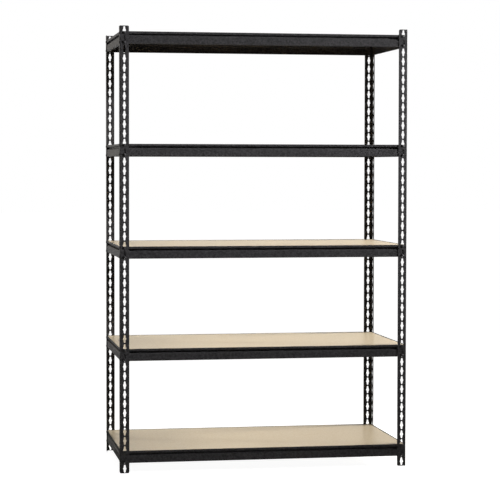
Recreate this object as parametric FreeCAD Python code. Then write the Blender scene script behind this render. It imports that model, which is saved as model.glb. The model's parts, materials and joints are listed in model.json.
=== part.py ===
"""Five-level boltless steel shelving unit with particle board decks.

The unit stands on the floor at z = 0, centred on the Z axis, with its long front facing -Y.
Four slotted angle posts, each in two halves, carry four roll-formed beams per level.
Every beam hangs by shoulder rivets, two at each end, in the keyhole slots of the posts.
A loose board lies on the ledges of the four beams of its level.
"""
import FreeCAD, Part
import math
import os

V = FreeCAD.Vector

# Driving dimensions, in millimetres
UNIT_HEIGHT = 1828.8
UNIT_WIDTH = 1203.3
UNIT_DEPTH = 609.6
SLOT_PITCH = 38.1

POST_FLANGE = 37.0
POST_SHEET = 1.2
POST_BEND_RADIUS = 2.5
POST_CORNER_RADIUS = 6.0
SLOT_LINE = 18.0
SLOT_WIDE_WIDTH = 13.8
SLOT_NECK_WIDTH = 8.3
SLOT_TIP_RADIUS = 3.5
SLOT_LENGTH = 32.6
SLOT_TAPER_HEIGHT = 6.6

BEAM_HEIGHT = 50.0
BEAM_SHEET = 1.0
BEAM_BEND = 1.6
LIP_HEIGHT = 9.8
GROOVE_HEIGHT = 7.6
GROOVE_DEPTH = 12.0
SHOULDER_RADIUS = 6.0
RETURN_FLANGE = 12.0
TAB_END_GAP = 6.0
TAB_LENGTH = 27.0
FORMED_BEHIND_POST = 1.0
SHEET_GAP = 0.05

RIVET_HEAD_RADIUS = 5.75
RIVET_HEAD_RIM = 0.8
RIVET_HEAD_HEIGHT = 2.6
RIVET_HEAD_FLAT_RADIUS = 1.0
RIVET_SHOULDER_RADIUS = 3.8
RIVET_TENON_RADIUS = 3.1
RIVET_TAIL_RADIUS = 4.3
RIVET_TAIL_HEIGHT = 0.8
RIVET_CLEARANCE = 0.05

BOARD_THICKNESS = 7.5
BOARD_EDGE_GAP = 5.0
BOARD_SEAT_GAP = 0.3
BOARD_CORNER_RADIUS = 1.5
BOARD_ARRIS = 0.4

# Slots, counted down from the top of the post, that take the upper rivet of each level.
# Level 1 is the lowest shelf and level 5 the highest.
UPPER_RIVET_SLOTS = {5: 0, 4: 12, 3: 23, 2: 34, 1: 45}
# How far down its own pitch a rivet comes to rest
RIVET_SEAT = 0.75

# Derived dimensions
HALF_POST_HEIGHT = UNIT_HEIGHT / 2
SLOTS_PER_HALF = round(HALF_POST_HEIGHT / SLOT_PITCH)
TAB_SETBACK = POST_SHEET + SHEET_GAP
TAB_BACK = TAB_SETBACK + BEAM_SHEET
RIVET_EDGE = (BEAM_HEIGHT - SLOT_PITCH) / 2
LEDGE_UNDERSIDE = BEAM_HEIGHT - LIP_HEIGHT
LEDGE_TOP = LEDGE_UNDERSIDE + BEAM_SHEET
WEB_TOP = LEDGE_UNDERSIDE - GROOVE_HEIGHT


def rivet_heights(level):
    """Heights of the upper and lower rivets of a level above the floor."""
    upper = UNIT_HEIGHT - SLOT_PITCH * (UPPER_RIVET_SLOTS[level] + RIVET_SEAT)
    return upper, upper - SLOT_PITCH


def beam_bottom(level):
    """Height of the underside of a level's beams above the floor."""
    return rivet_heights(level)[1] - RIVET_EDGE


# Posts

def keyhole(axis_of_wall):
    """Cutter for one slot, centred on the origin, running through a wall normal to the given axis.

    The slot is widest at mid-height.
    Above and below it narrows to a neck, which tapers a little more and wedges a rivet's shoulder.
    """
    wide = SLOT_WIDE_WIDTH / 2
    neck = SLOT_NECK_WIDTH / 2
    tip = SLOT_LENGTH / 2
    tip_centre = tip - SLOT_TIP_RADIUS
    upper_right = [V(wide, 0, 0), V(neck, 0, SLOT_TAPER_HEIGHT), V(SLOT_TIP_RADIUS, 0, tip_centre)]
    edges = []
    for side_x, side_z in ((1, 1), (-1, 1), (-1, -1), (1, -1)):
        quarter = [V(side_x * point.x, 0, side_z * point.z) for point in upper_right]
        edges += [Part.makeLine(a, b) for a, b in zip(quarter, quarter[1:])]
    for side_z in (1, -1):
        ends = [V(side_x * SLOT_TIP_RADIUS, 0, side_z * tip_centre) for side_x in (-1, 1)]
        edges.append(Part.Arc(ends[0], V(0, 0, side_z * tip), ends[1]).toShape())
    outline = Part.Wire(Part.__sortEdges__(edges))
    reach = 3 * POST_SHEET
    cutter = Part.Face(outline).extrude(V(0, 2 * reach, 0))
    cutter.translate(V(0, -reach, 0))
    if axis_of_wall == "x":
        cutter.rotate(V(0, 0, 0), V(0, 0, 1), 90)
    return cutter


def flange_corner_cutters(axis_of_wall):
    """Cutters that round a flange's two free corners, in the half post's own frame."""
    radius = POST_CORNER_RADIUS
    reach = 3 * POST_SHEET
    cutters = []
    for z_corner, inward in ((0.0, 1), (HALF_POST_HEIGHT, -1)):
        z_centre = z_corner + inward * radius
        z_block = z_centre - (2 * radius if inward > 0 else 0)
        block = Part.makeBox(2 * radius, 2 * reach, 2 * radius, V(POST_FLANGE - radius, -reach, z_block))
        axis_start = V(POST_FLANGE - radius, -2 * reach, z_centre)
        cutter = block.cut(Part.makeCylinder(radius, 4 * reach, axis_start, V(0, 1, 0)))
        if axis_of_wall == "x":
            cutter = cutter.mirror(V(0, 0, 0), V(1, -1, 0))
        cutters.append(cutter)
    return cutters


def half_post():
    """One half of a post: bend corner on the Z axis, flanges along +X and +Y, foot at z = 0."""
    outer, inner = POST_FLANGE, POST_SHEET
    bend = POST_BEND_RADIUS
    inner_bend = bend - POST_SHEET
    diagonal = math.sqrt(0.5)
    outer_mid = bend * (1 - diagonal)
    inner_mid = inner + inner_bend * (1 - diagonal)
    section = Part.Wire([
        Part.makeLine(V(bend, 0, 0), V(outer, 0, 0)),
        Part.makeLine(V(outer, 0, 0), V(outer, inner, 0)),
        Part.makeLine(V(outer, inner, 0), V(bend, inner, 0)),
        Part.Arc(V(bend, inner, 0), V(inner_mid, inner_mid, 0), V(inner, bend, 0)).toShape(),
        Part.makeLine(V(inner, bend, 0), V(inner, outer, 0)),
        Part.makeLine(V(inner, outer, 0), V(0, outer, 0)),
        Part.makeLine(V(0, outer, 0), V(0, bend, 0)),
        Part.Arc(V(0, bend, 0), V(outer_mid, outer_mid, 0), V(bend, 0, 0)).toShape(),
    ])
    angle = Part.Face(section).extrude(V(0, 0, HALF_POST_HEIGHT))
    cutters = flange_corner_cutters("y") + flange_corner_cutters("x")
    for number in range(SLOTS_PER_HALF):
        z = SLOT_PITCH * (number + 0.5)
        for wall, centre in (("y", V(SLOT_LINE, 0, z)), ("x", V(0, SLOT_LINE, z))):
            slot = keyhole(wall)
            slot.translate(centre)
            cutters.append(slot)
    return angle.cut(cutters)


# Beams

def shoulder_points():
    """The large curve that leads from the groove's lower wall out and down to the web's flat face."""
    centre_setback = TAB_SETBACK + SHOULDER_RADIUS
    centre_height = WEB_TOP - SHOULDER_RADIUS
    points = []
    for degrees in (0, 22.5, 45, 67.5, 90):
        angle = math.radians(degrees)
        points.append((centre_setback - SHOULDER_RADIUS * math.sin(angle),
                       centre_height + SHOULDER_RADIUS * math.cos(angle)))
    return points


def formed_outline():
    """Outer surface of the beam's section, from the lip's top edge to the return flange's edge.

    Points are (setback behind the post's outer face, height above the beam's underside).
    """
    bends = [
        (TAB_SETBACK, LEDGE_UNDERSIDE),
        (GROOVE_DEPTH, LEDGE_UNDERSIDE),
        (GROOVE_DEPTH, WEB_TOP),
    ]
    return (TAB_SETBACK, BEAM_HEIGHT), bends, shoulder_points(), (TAB_SETBACK, 0.0), (RETURN_FLANGE, 0.0)


def flat_outline():
    """The same points pressed flat into the hanging tab behind the post's flange."""
    band = 1.0
    bends = [(TAB_SETBACK, z) for z in (LEDGE_UNDERSIDE + band, LEDGE_UNDERSIDE - band, WEB_TOP + band)]
    shoulder = [(TAB_SETBACK, z) for _, z in shoulder_points()]
    return (TAB_SETBACK, BEAM_HEIGHT), bends, shoulder, (TAB_SETBACK, band), (TAB_SETBACK, 0.0)


def toward(start, end, distance):
    """Point on the way from start to end, at most 0.35 of the way along."""
    length = math.hypot(end[0] - start[0], end[1] - start[1])
    share = min(distance / length, 0.35)
    return start[0] + share * (end[0] - start[0]), start[1] + share * (end[1] - start[1])


def with_bends(outline):
    """Replace each bend of an outline by two points, as the start and end of its radius."""
    top, bends, curve, foot, edge = outline
    corners = bends + curve + [foot]
    path = [top] + corners + [edge]
    points = [top]
    for before, corner, after in zip(path, corners, path[2:]):
        if corner in curve:
            points.append(corner)
        else:
            points.append(toward(corner, before, BEAM_BEND))
            points.append(toward(corner, after, BEAM_BEND))
    points.append(edge)
    return points


def inner_side(points):
    """The sheet's inner surface: the outer one moved by the sheet's thickness."""
    normals = []
    for (y0, z0), (y1, z1) in zip(points, points[1:]):
        length = math.hypot(y1 - y0, z1 - z0)
        normals.append(((z0 - z1) / length, (y1 - y0) / length))
    moved = []
    for number, (y, z) in enumerate(points):
        before = normals[max(number - 1, 0)]
        after = normals[min(number, len(normals) - 1)]
        spread = 1 + before[0] * after[0] + before[1] * after[1]
        moved.append((y + BEAM_SHEET * (before[0] + after[0]) / spread,
                      z + BEAM_SHEET * (before[1] + after[1]) / spread))
    return moved


def beam_stations(length):
    """Sections along a beam as (x, outline), from one tab's end to the other's.

    Each end is a flat tab behind the post, and the full section is formed just before the post's edge.
    """
    half = length / 2
    flat = flat_outline()
    formed_from = half - POST_FLANGE + FORMED_BEHIND_POST
    stations = [(half - TAB_END_GAP, flat), (half - TAB_LENGTH, flat), (formed_from, formed_outline())]
    return [(-x, outline) for x, outline in stations] + stations[::-1]


def solid_through(sections):
    """Solid between matching closed sections, each a list of points, with flat end caps."""
    faces = []
    for near, far in zip(sections, sections[1:]):
        count = len(near)
        for number in range(count):
            following = (number + 1) % count
            a, b, c, d = near[number], near[following], far[following], far[number]
            off_plane = (b - a).cross(d - a).dot(c - a)
            if abs(off_plane) < 1e-6:
                faces.append(Part.Face(Part.makePolygon([a, b, c, d, a])))
            else:
                faces.append(Part.Face(Part.makePolygon([a, b, c, a])))
                faces.append(Part.Face(Part.makePolygon([a, c, d, a])))
    for cap in (sections[0], sections[-1]):
        faces.append(Part.Face(Part.makePolygon(cap + [cap[0]])))
    solid = Part.makeSolid(Part.makeShell(faces))
    if solid.Volume < 0:
        solid.reverse()
    return solid


def beam(length):
    """A beam along X, with the post's outer face on y = 0, inward +Y and its underside on z = 0."""
    sections = []
    for x, outline in beam_stations(length):
        outer = with_bends(outline)
        inner = inner_side(outer)
        sections.append([V(x, y, z) for y, z in outer + inner[::-1]])
    body = solid_through(sections)
    hole_radius = RIVET_TENON_RADIUS + RIVET_CLEARANCE
    holes = []
    for side in (-1, 1):
        for z in (RIVET_EDGE, RIVET_EDGE + SLOT_PITCH):
            start = V(side * (length / 2 - SLOT_LINE), 0, z)
            holes.append(Part.makeCylinder(hole_radius, 2 * TAB_BACK, start, V(0, 1, 0)))
    return body.cut(holes)


# Rivets

def rivet():
    """A shoulder rivet along Y: domed head outside y = 0, tail behind the beam's tab."""
    head_face = -2 * SHEET_GAP
    crown = head_face - RIVET_HEAD_HEIGHT
    tail_face = TAB_BACK + RIVET_CLEARANCE
    shoulder_end = TAB_SETBACK - RIVET_CLEARANCE
    dome_height = RIVET_HEAD_HEIGHT - RIVET_HEAD_RIM
    dome_radius = (RIVET_HEAD_RADIUS ** 2 + dome_height ** 2) / (2 * dome_height)
    rim_angle = math.asin(RIVET_HEAD_RADIUS / dome_radius)
    flat_angle = math.asin(RIVET_HEAD_FLAT_RADIUS / dome_radius)
    dome = [V(dome_radius * math.sin(angle), crown + dome_radius * (1 - math.cos(angle)), 0)
            for angle in (rim_angle, (rim_angle + flat_angle) / 2, flat_angle)]
    corners = [
        V(0, dome[-1].y, 0),
        V(0, tail_face + RIVET_TAIL_HEIGHT, 0),
        V(RIVET_TAIL_RADIUS, tail_face + RIVET_TAIL_HEIGHT, 0),
        V(RIVET_TAIL_RADIUS, tail_face, 0),
        V(RIVET_TENON_RADIUS, tail_face, 0),
        V(RIVET_TENON_RADIUS, shoulder_end, 0),
        V(RIVET_SHOULDER_RADIUS, shoulder_end, 0),
        V(RIVET_SHOULDER_RADIUS, head_face, 0),
        V(RIVET_HEAD_RADIUS, head_face, 0),
        dome[0],
    ]
    edges = [Part.makeLine(a, b) for a, b in zip(corners, corners[1:])]
    edges.append(Part.Arc(*dome).toShape())
    edges.append(Part.makeLine(dome[-1], corners[0]))
    return Part.Face(Part.Wire(edges)).revolve(V(0, 0, 0), V(0, 1, 0), 360)


def beam_rivets(length):
    """The four rivets of one beam, in the beam's own frame."""
    rivets = []
    for side in (-1, 1):
        for z in (RIVET_EDGE, RIVET_EDGE + SLOT_PITCH):
            one = rivet()
            one.translate(V(side * (length / 2 - SLOT_LINE), 0, z))
            rivets.append(one)
    return rivets


# Boards

def board():
    """A particle board with eased edges, centred on the Z axis with its underside on z = 0."""
    width = UNIT_WIDTH - 2 * BOARD_EDGE_GAP
    depth = UNIT_DEPTH - 2 * BOARD_EDGE_GAP
    slab = Part.makeBox(width, depth, BOARD_THICKNESS, V(-width / 2, -depth / 2, 0))
    upright = [edge for edge in slab.Edges if abs(edge.tangentAt(edge.FirstParameter).z) > 0.9]
    slab = slab.makeFillet(BOARD_CORNER_RADIUS, upright)
    rims = [edge for edge in slab.Edges if abs(edge.tangentAt(edge.FirstParameter).z) < 0.1]
    return slab.makeChamfer(BOARD_ARRIS, rims)


# Assembly

def turned(shape, quarter_turns, x, y, z):
    """A copy of a shape turned about the Z axis and then moved into place."""
    placed = shape.copy()
    placed.rotate(V(0, 0, 0), V(0, 0, 1), 90 * quarter_turns)
    placed.translate(V(x, y, z))
    return placed


def build_nodes():
    """Every piece of the unit, as node name to shape."""
    half_width = UNIT_WIDTH / 2
    half_depth = UNIT_DEPTH / 2
    corners = {
        "front_left": (0, -half_width, -half_depth),
        "front_right": (1, half_width, -half_depth),
        "rear_right": (2, half_width, half_depth),
        "rear_left": (3, -half_width, half_depth),
    }
    sides = {
        "front": (0, 0, -half_depth),
        "right": (1, half_width, 0),
        "rear": (2, 0, half_depth),
        "left": (3, -half_width, 0),
    }
    pairs = {"long": ("front", "rear"), "short": ("left", "right")}
    lengths = {"long": UNIT_WIDTH, "short": UNIT_DEPTH}

    nodes = {}
    post = half_post()
    for corner, (turns, x, y) in corners.items():
        nodes[f"post_{corner}_lower"] = turned(post, turns, x, y, 0)
        nodes[f"post_{corner}_upper"] = turned(post, turns, x, y, HALF_POST_HEIGHT)

    beams = {span: beam(length) for span, length in lengths.items()}
    rivets = {span: beam_rivets(length) for span, length in lengths.items()}
    deck = board()
    for level in sorted(UPPER_RIVET_SLOTS):
        z = beam_bottom(level)
        for span, pair in pairs.items():
            group = []
            for side in pair:
                turns, x, y = sides[side]
                nodes[f"beam_{side}_level_{level}"] = turned(beams[span], turns, x, y, z)
                group += [turned(one, turns, x, y, z) for one in rivets[span]]
            nodes[f"rivets_{span}_level_{level}"] = Part.makeCompound(group)
        nodes[f"board_level_{level}"] = turned(deck, 0, 0, 0, z + LEDGE_TOP + BOARD_SEAT_GAP)
    return nodes


os.makedirs("parts", exist_ok=True)
for node, shape in build_nodes().items():
    shape.exportStep(f"parts/{node}.step")
    print(node, round(shape.Volume), shape.isValid(), len(shape.Solids), len(shape.Faces))
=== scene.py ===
"""Looks of the five-level boltless steel shelving unit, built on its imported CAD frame."""
import json
import math

import bpy
from mathutils import Matrix, Vector

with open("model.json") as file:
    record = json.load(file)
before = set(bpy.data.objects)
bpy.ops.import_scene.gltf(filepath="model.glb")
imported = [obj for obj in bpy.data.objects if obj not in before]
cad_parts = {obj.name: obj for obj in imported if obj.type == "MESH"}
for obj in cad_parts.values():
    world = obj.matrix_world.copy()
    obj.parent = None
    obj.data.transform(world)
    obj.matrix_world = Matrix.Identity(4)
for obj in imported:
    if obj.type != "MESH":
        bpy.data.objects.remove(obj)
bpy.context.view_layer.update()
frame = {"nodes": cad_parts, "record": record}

WHITE = (1.0, 1.0, 1.0)

# Powder coat. Colours are linear RGB, and patterns are in cells per metre.
STEEL_DARK = (0.009, 0.0086, 0.0096)
STEEL_LIGHT = (0.043, 0.0405, 0.0455)
STEEL_WORN = (0.10, 0.098, 0.096)
COAT_DRIFT = 2.3
COAT_WEAR_PATCHES = 60
COAT_MOTTLE = 140
COAT_GRAIN = 420.0
COAT_PEBBLE = 900
COAT_WEAR_RADIUS = 0.0011
COAT_ROUGHNESS = (0.94, 0.80)
CLEAR_COAT_WEIGHT = 0.16
CLEAR_COAT_ROUGHNESS = 0.24

# Particle board
CHIP_PALE = (0.60, 0.52, 0.38)
CHIP_MID = (0.535, 0.44, 0.30)
CHIP_BROWN = (0.33, 0.245, 0.156)
BOARD_BLOTCH = 4.0
CHIP_WARP = 70.0
CHIP_WARP_REACH = (0.012, 0.012, 0.012)
CHIPS = 230.0
SMALL_CHIPS = 620.0
FIBRE = 260
FIBRE_STRETCH = (1.0, 5.0, 1.0)
CORE_CHIPS = 300.0
CORE_FLATTENING = (1.0, 1.0, 2.6)
BOARD_WEAR_RADIUS = 0.0012
BOARD_ROUGHNESS = (0.32, 0.44)

SPECULAR_LEVEL = 0.5

# Studio: colours, and the floor's own glow
FLOOR_PALE = (0.42, 0.42, 0.42)
FLOOR_SHADE = 0.985
FLOOR_MOTTLE = 0.8
FLOOR_ROUGHNESS = 0.9
FLOOR_REACH = 40.0
FLOOR_GLOW = 0.95
SKY_TINT = (1.0, 0.955, 0.89)
SIDE_TINT = (1.0, 0.96, 0.90)

# Light thrown by the surround at the horizon in front of the unit and behind it, and the share of it
# left high up
SKY_FRONT = 0.124
SKY_BACK = 1.236
SKY_HIGH_SHARE = 0.31

# Camera, in metres and degrees
CAMERA_PLACE = Vector((-1.3588, -7.7279, 1.2641))
CAMERA_YAW = 9.892
CAMERA_PITCH = -2.199
CAMERA_ROLL = 0.087
SENSOR_WIDTH = 36.0
IMAGE_WIDTHS_TO_FOCUS = 3.6550
CAMERA_SHIFT_UP = -0.03
CAMERA_REACH = 100.0


# Node helpers

def is_socket(value):
    return isinstance(value, bpy.types.NodeSocket)


class Nodes:
    """Short calls for building one material's node tree."""

    def __init__(self, name):
        self.material = bpy.data.materials.new(name)
        self.material.use_nodes = True
        self.tree = self.material.node_tree
        self.tree.nodes.clear()

    def add(self, kind, inputs=None, **settings):
        node = self.tree.nodes.new(kind)
        for key, value in settings.items():
            setattr(node, key, value)
        for key, value in (inputs or {}).items():
            if is_socket(value):
                self.tree.links.new(value, node.inputs[key])
            else:
                node.inputs[key].default_value = value
        return node

    def place(self, scale=(1, 1, 1)):
        """Position on the piece, in metres times the scale."""
        where = self.add("ShaderNodeTexCoord").outputs["Object"]
        return self.add("ShaderNodeMapping", {"Vector": where, "Scale": scale}).outputs["Vector"]

    def noise(self, where, per_metre, detail=3.0, roughness=0.5):
        return self.add("ShaderNodeTexNoise", {
            "Vector": where, "Scale": per_metre, "Detail": detail, "Roughness": roughness,
        }).outputs["Fac"]

    def cells(self, where, per_metre):
        return self.add("ShaderNodeTexVoronoi", {"Vector": where, "Scale": per_metre})

    def channel(self, colour, number):
        return self.add("ShaderNodeSeparateColor", {"Color": colour}).outputs[number]

    def part_of(self, vector, axis):
        return self.add("ShaderNodeSeparateXYZ", {"Vector": vector}).outputs[axis]

    def remap(self, value, low, high, to_low=0.0, to_high=1.0):
        return self.add("ShaderNodeMapRange", {
            "Value": value, "From Min": low, "From Max": high, "To Min": to_low, "To Max": to_high,
        }).outputs["Result"]

    def maths(self, operation, *values):
        return self.add("ShaderNodeMath", dict(enumerate(values)), operation=operation).outputs[0]

    def vector_maths(self, operation, a, b):
        return self.add("ShaderNodeVectorMath", {0: a, 1: b}, operation=operation)

    def mix(self, share, a, b):
        node = self.add("ShaderNodeMix", data_type="RGBA")
        sockets = (node.inputs["Factor"], node.inputs[6], node.inputs[7])
        for socket, value in zip(sockets, (share, a, b)):
            if is_socket(value):
                self.tree.links.new(value, socket)
            elif isinstance(value, tuple):
                socket.default_value = (*value, 1.0)
            else:
                socket.default_value = value
        return node.outputs[2]

    def bump(self, height, strength, depth, below=None):
        inputs = {"Height": height, "Strength": strength, "Distance": depth}
        if below is not None:
            inputs["Normal"] = below
        return self.add("ShaderNodeBump", inputs).outputs["Normal"]

    def true_normal(self):
        return self.add("ShaderNodeNewGeometry").outputs["True Normal"]

    def edge_mask(self, radius, low=0.86, high=0.985):
        """1 on a sharp edge and 0 away from it."""
        rounded = self.add("ShaderNodeBevel", {"Radius": radius}, samples=4).outputs["Normal"]
        facing = self.vector_maths("DOT_PRODUCT", rounded, self.true_normal()).outputs["Value"]
        return self.remap(facing, low, high, 1.0, 0.0)

    def finish(self, **principled):
        inputs = {key.replace("_", " "): value for key, value in principled.items()}
        shader = self.add("ShaderNodeBsdfPrincipled", inputs)
        self.add("ShaderNodeOutputMaterial", {"Surface": shader.outputs["BSDF"]})
        return self.material


# Materials

def powder_coat(name, speckle=1.0):
    """Dark grey powder coat: a fine pebbled skin with mottled tone, and paler rubbed edges."""
    n = Nodes(name)
    where = n.place()
    mottle = n.noise(where, COAT_MOTTLE, roughness=0.55)
    pebble = n.noise(where, COAT_PEBBLE, detail=2.0)
    drift = n.noise(where, COAT_DRIFT, detail=2.0)
    grain = n.cells(where, COAT_GRAIN).outputs["Distance"]
    patches = n.noise(where, COAT_WEAR_PATCHES, detail=5.0)

    slow_tone = n.remap(drift, 0.3, 0.7, 0.0, 0.25)
    tone = n.maths("MULTIPLY_ADD", n.remap(mottle, 0.34, 0.70), 0.75, slow_tone)
    paint = n.mix(tone, STEEL_DARK, STEEL_LIGHT)
    rubbed = n.remap(patches, 0.42, 0.62, 0.05, 0.6)
    wear = n.maths("MULTIPLY", n.edge_mask(COAT_WEAR_RADIUS), rubbed)
    colour = n.mix(wear, paint, STEEL_WORN)
    roughness = n.remap(mottle, 0.3, 0.7, *COAT_ROUGHNESS)

    skin = n.bump(mottle, 0.85 * speckle, 0.0012)
    skin = n.bump(grain, 0.22 * speckle, 0.0004, skin)
    skin = n.bump(pebble, 0.20 * speckle, 0.0003, skin)
    return n.finish(Base_Color=colour, Roughness=roughness, Specular_IOR_Level=SPECULAR_LEVEL, Normal=skin,
                    Coat_Weight=CLEAR_COAT_WEIGHT, Coat_Roughness=CLEAR_COAT_ROUGHNESS)


def particle_board(name):
    """Sanded particle board: pale pressed chips on the faces, a coarser and darker core at the edges."""
    n = Nodes(name)
    where = n.place()
    warp_noise = n.add("ShaderNodeTexNoise", {"Vector": where, "Scale": CHIP_WARP, "Detail": 2.0})
    warp = n.vector_maths("MULTIPLY", warp_noise.outputs["Color"], CHIP_WARP_REACH).outputs[0]
    chip_place = n.vector_maths("ADD", where, warp).outputs[0]
    chips = n.cells(chip_place, CHIPS)
    chip_tone = n.channel(chips.outputs["Color"], 0)
    small_tone = n.channel(n.cells(chip_place, SMALL_CHIPS).outputs["Color"], 1)
    fibre = n.noise(n.place(FIBRE_STRETCH), FIBRE, detail=4.0)
    blotch = n.noise(where, BOARD_BLOTCH)

    face = n.mix(n.remap(chip_tone, 0.0, 1.0, 0.10, 0.75), CHIP_PALE, CHIP_MID)
    face = n.mix(n.remap(small_tone, 0.55, 1.0, 0.0, 0.35), face, CHIP_PALE)
    face = n.mix(n.remap(small_tone, 0.12, 0.0, 0.0, 0.40), face, CHIP_BROWN)
    face = n.mix(n.remap(fibre, 0.52, 0.75, 0.0, 0.22), face, CHIP_BROWN)
    face = n.mix(n.remap(blotch, 0.35, 0.7, 0.0, 0.18), face, CHIP_MID)

    core = n.cells(n.place(CORE_FLATTENING), CORE_CHIPS)
    core_colour = n.mix(n.channel(core.outputs["Color"], 0), CHIP_MID, CHIP_BROWN)
    upward = n.maths("ABSOLUTE", n.part_of(n.true_normal(), "Z"))
    on_edge = n.remap(upward, 0.35, 0.75, 1.0, 0.0)
    wear = n.maths("MULTIPLY", n.edge_mask(BOARD_WEAR_RADIUS), 0.35)
    colour = n.mix(wear, n.mix(on_edge, face, core_colour), CHIP_BROWN)

    relief = n.bump(chips.outputs["Distance"], 0.10, 0.0005)
    relief = n.bump(fibre, 0.18, 0.0004, relief)
    relief = n.bump(core.outputs["Distance"], n.maths("MULTIPLY", on_edge, 0.6), 0.0012, relief)
    roughness = n.remap(chip_tone, 0.0, 1.0, *BOARD_ROUGHNESS)
    return n.finish(Base_Color=colour, Roughness=roughness, Specular_IOR_Level=SPECULAR_LEVEL, Normal=relief)


def studio_surface(name, colour):
    """Plain matt floor with the faintest mottling.

    It is shown brighter than the light it throws. Far behind the unit it is mirrored as bright as it
    is shown.
    """
    n = Nodes(name)
    where = n.place()
    tone = n.remap(n.noise(where, FLOOR_MOTTLE, detail=2.0), 0.3, 0.7)
    shade = tuple(FLOOR_SHADE * part for part in colour)
    ray = n.add("ShaderNodeLightPath").outputs
    far_behind = n.remap(n.part_of(where, "Y"), 1.0, 8.0)
    mirrored = n.maths("MULTIPLY", ray["Is Glossy Ray"], far_behind)
    glow = n.maths("MULTIPLY", n.maths("MAXIMUM", ray["Is Camera Ray"], mirrored), FLOOR_GLOW)
    return n.finish(Base_Color=n.mix(tone, colour, shade), Roughness=FLOOR_ROUGHNESS,
                    Specular_IOR_Level=0.0, Emission_Color=(*WHITE, 1.0), Emission_Strength=glow)


def dress(node_name, material):
    """Give a CAD node its material through the object's own slots."""
    for slot in frame["nodes"][node_name].material_slots:
        slot.link = "OBJECT"
        slot.material = material


FINISHES = {
    "post_steel": powder_coat("post_powder_coat"),
    "beam_steel": powder_coat("beam_powder_coat", speckle=1.2),
    "rivet_steel": powder_coat("rivet_powder_coat", speckle=0.6),
    "particle_board": particle_board("particle_board"),
}
for entry in frame["record"]["subparts"]:
    dress(entry["node"], FINISHES[entry["material_slot"]])


# Studio

def floor():
    """A wide pale floor."""
    corners = [(FLOOR_REACH * x, FLOOR_REACH * y, 0.0) for x, y in ((-1, -1), (1, -1), (1, 1), (-1, 1))]
    mesh = bpy.data.meshes.new("studio_floor")
    mesh.from_pydata(corners, [], [(0, 1, 2, 3)])
    plane = bpy.data.objects.new("studio_floor", mesh)
    bpy.context.scene.collection.objects.link(plane)
    mesh.materials.append(studio_surface("studio_pale", FLOOR_PALE))


def area_light(name, place, target, size, power, spread=180.0, tint=WHITE, mirrored=True):
    """A square soft light pointing at a target.

    The size is its side in metres, the power is in watts, and the spread is its beam's full angle in
    degrees. A light that isn't mirrored shows no glare in glossy surfaces.
    """
    light = bpy.data.lights.new(name, "AREA")
    light.shape = "SQUARE"
    light.size = size
    light.energy = power
    light.color = tint
    light.spread = math.radians(spread)
    lamp = bpy.data.objects.new(name, light)
    lamp.location = place
    lamp.visible_glossy = mirrored
    lamp.rotation_euler = (Vector(target) - Vector(place)).to_track_quat("-Z", "Y").to_euler()
    bpy.context.scene.collection.objects.link(lamp)


def sky():
    """A surround seen as white, which lights the unit warmly from low down and mostly from behind."""
    world = bpy.data.worlds.new("studio_sky")
    world.use_nodes = True
    tree = world.node_tree
    tree.nodes.clear()

    def add(kind, **sockets):
        node = tree.nodes.new(kind)
        for name, value in sockets.items():
            socket = node.inputs[name.replace("_", " ")]
            if is_socket(value):
                tree.links.new(value, socket)
            else:
                socket.default_value = value
        return node

    toward = add("ShaderNodeSeparateXYZ", Vector=add("ShaderNodeTexCoord").outputs["Generated"])
    around = add("ShaderNodeMapRange", Value=toward.outputs["Y"],
                 From_Min=-0.1, From_Max=0.5, To_Min=SKY_FRONT, To_Max=SKY_BACK)
    upward = add("ShaderNodeMapRange", Value=toward.outputs["Z"],
                 From_Min=0.08, From_Max=0.35, To_Min=1.0, To_Max=SKY_HIGH_SHARE)
    strength = tree.nodes.new("ShaderNodeMath")
    strength.operation = "MULTIPLY"
    tree.links.new(around.outputs[0], strength.inputs[0])
    tree.links.new(upward.outputs[0], strength.inputs[1])
    thrown = add("ShaderNodeBackground", Color=(*SKY_TINT, 1.0), Strength=strength.outputs[0])
    shown = add("ShaderNodeBackground", Color=(*WHITE, 1.0))
    choice = tree.nodes.new("ShaderNodeMixShader")
    tree.links.new(add("ShaderNodeLightPath").outputs["Is Camera Ray"], choice.inputs[0])
    tree.links.new(thrown.outputs[0], choice.inputs[1])
    tree.links.new(shown.outputs[0], choice.inputs[2])
    add("ShaderNodeOutputWorld", Surface=choice.outputs[0])
    bpy.context.scene.world = world


def studio():
    sky()
    floor()
    area_light("key", place=(8.7, -2.6, 3.0), target=(0.0, -0.3, 1.53), size=0.6, power=33, spread=22.0)
    area_light("side", place=(7.0, 0.6, 2.7), target=(0.0, 0.0, 0.7), size=2.0, power=49, spread=28.0,
               tint=SIDE_TINT, mirrored=False)
    area_light("top", place=(0.5, -1.5, 6.5), target=(0.0, 0.0, 0.0), size=5.0, power=39)


def camera():
    yaw, pitch, roll = (math.radians(angle) for angle in (CAMERA_YAW, CAMERA_PITCH, CAMERA_ROLL))
    level = math.cos(pitch)
    forward = Vector((level * math.sin(yaw), level * math.cos(yaw), math.sin(pitch)))
    level_right = Vector((math.cos(yaw), -math.sin(yaw), 0.0))
    level_up = level_right.cross(forward)
    right = math.cos(roll) * level_right + math.sin(roll) * level_up
    up = math.cos(roll) * level_up - math.sin(roll) * level_right
    turn = Matrix((right, up, -forward)).transposed().to_4x4()
    lens = bpy.data.cameras.new("view")
    lens.sensor_width = SENSOR_WIDTH
    lens.lens = IMAGE_WIDTHS_TO_FOCUS * SENSOR_WIDTH
    lens.shift_y = CAMERA_SHIFT_UP
    lens.clip_end = CAMERA_REACH
    eye = bpy.data.objects.new("view", lens)
    eye.matrix_world = Matrix.Translation(CAMERA_PLACE) @ turn
    bpy.context.scene.collection.objects.link(eye)
    bpy.context.scene.camera = eye


studio()
camera()
bpy.context.scene.view_settings.view_transform = "Standard"
bpy.context.scene.view_settings.look = "None"
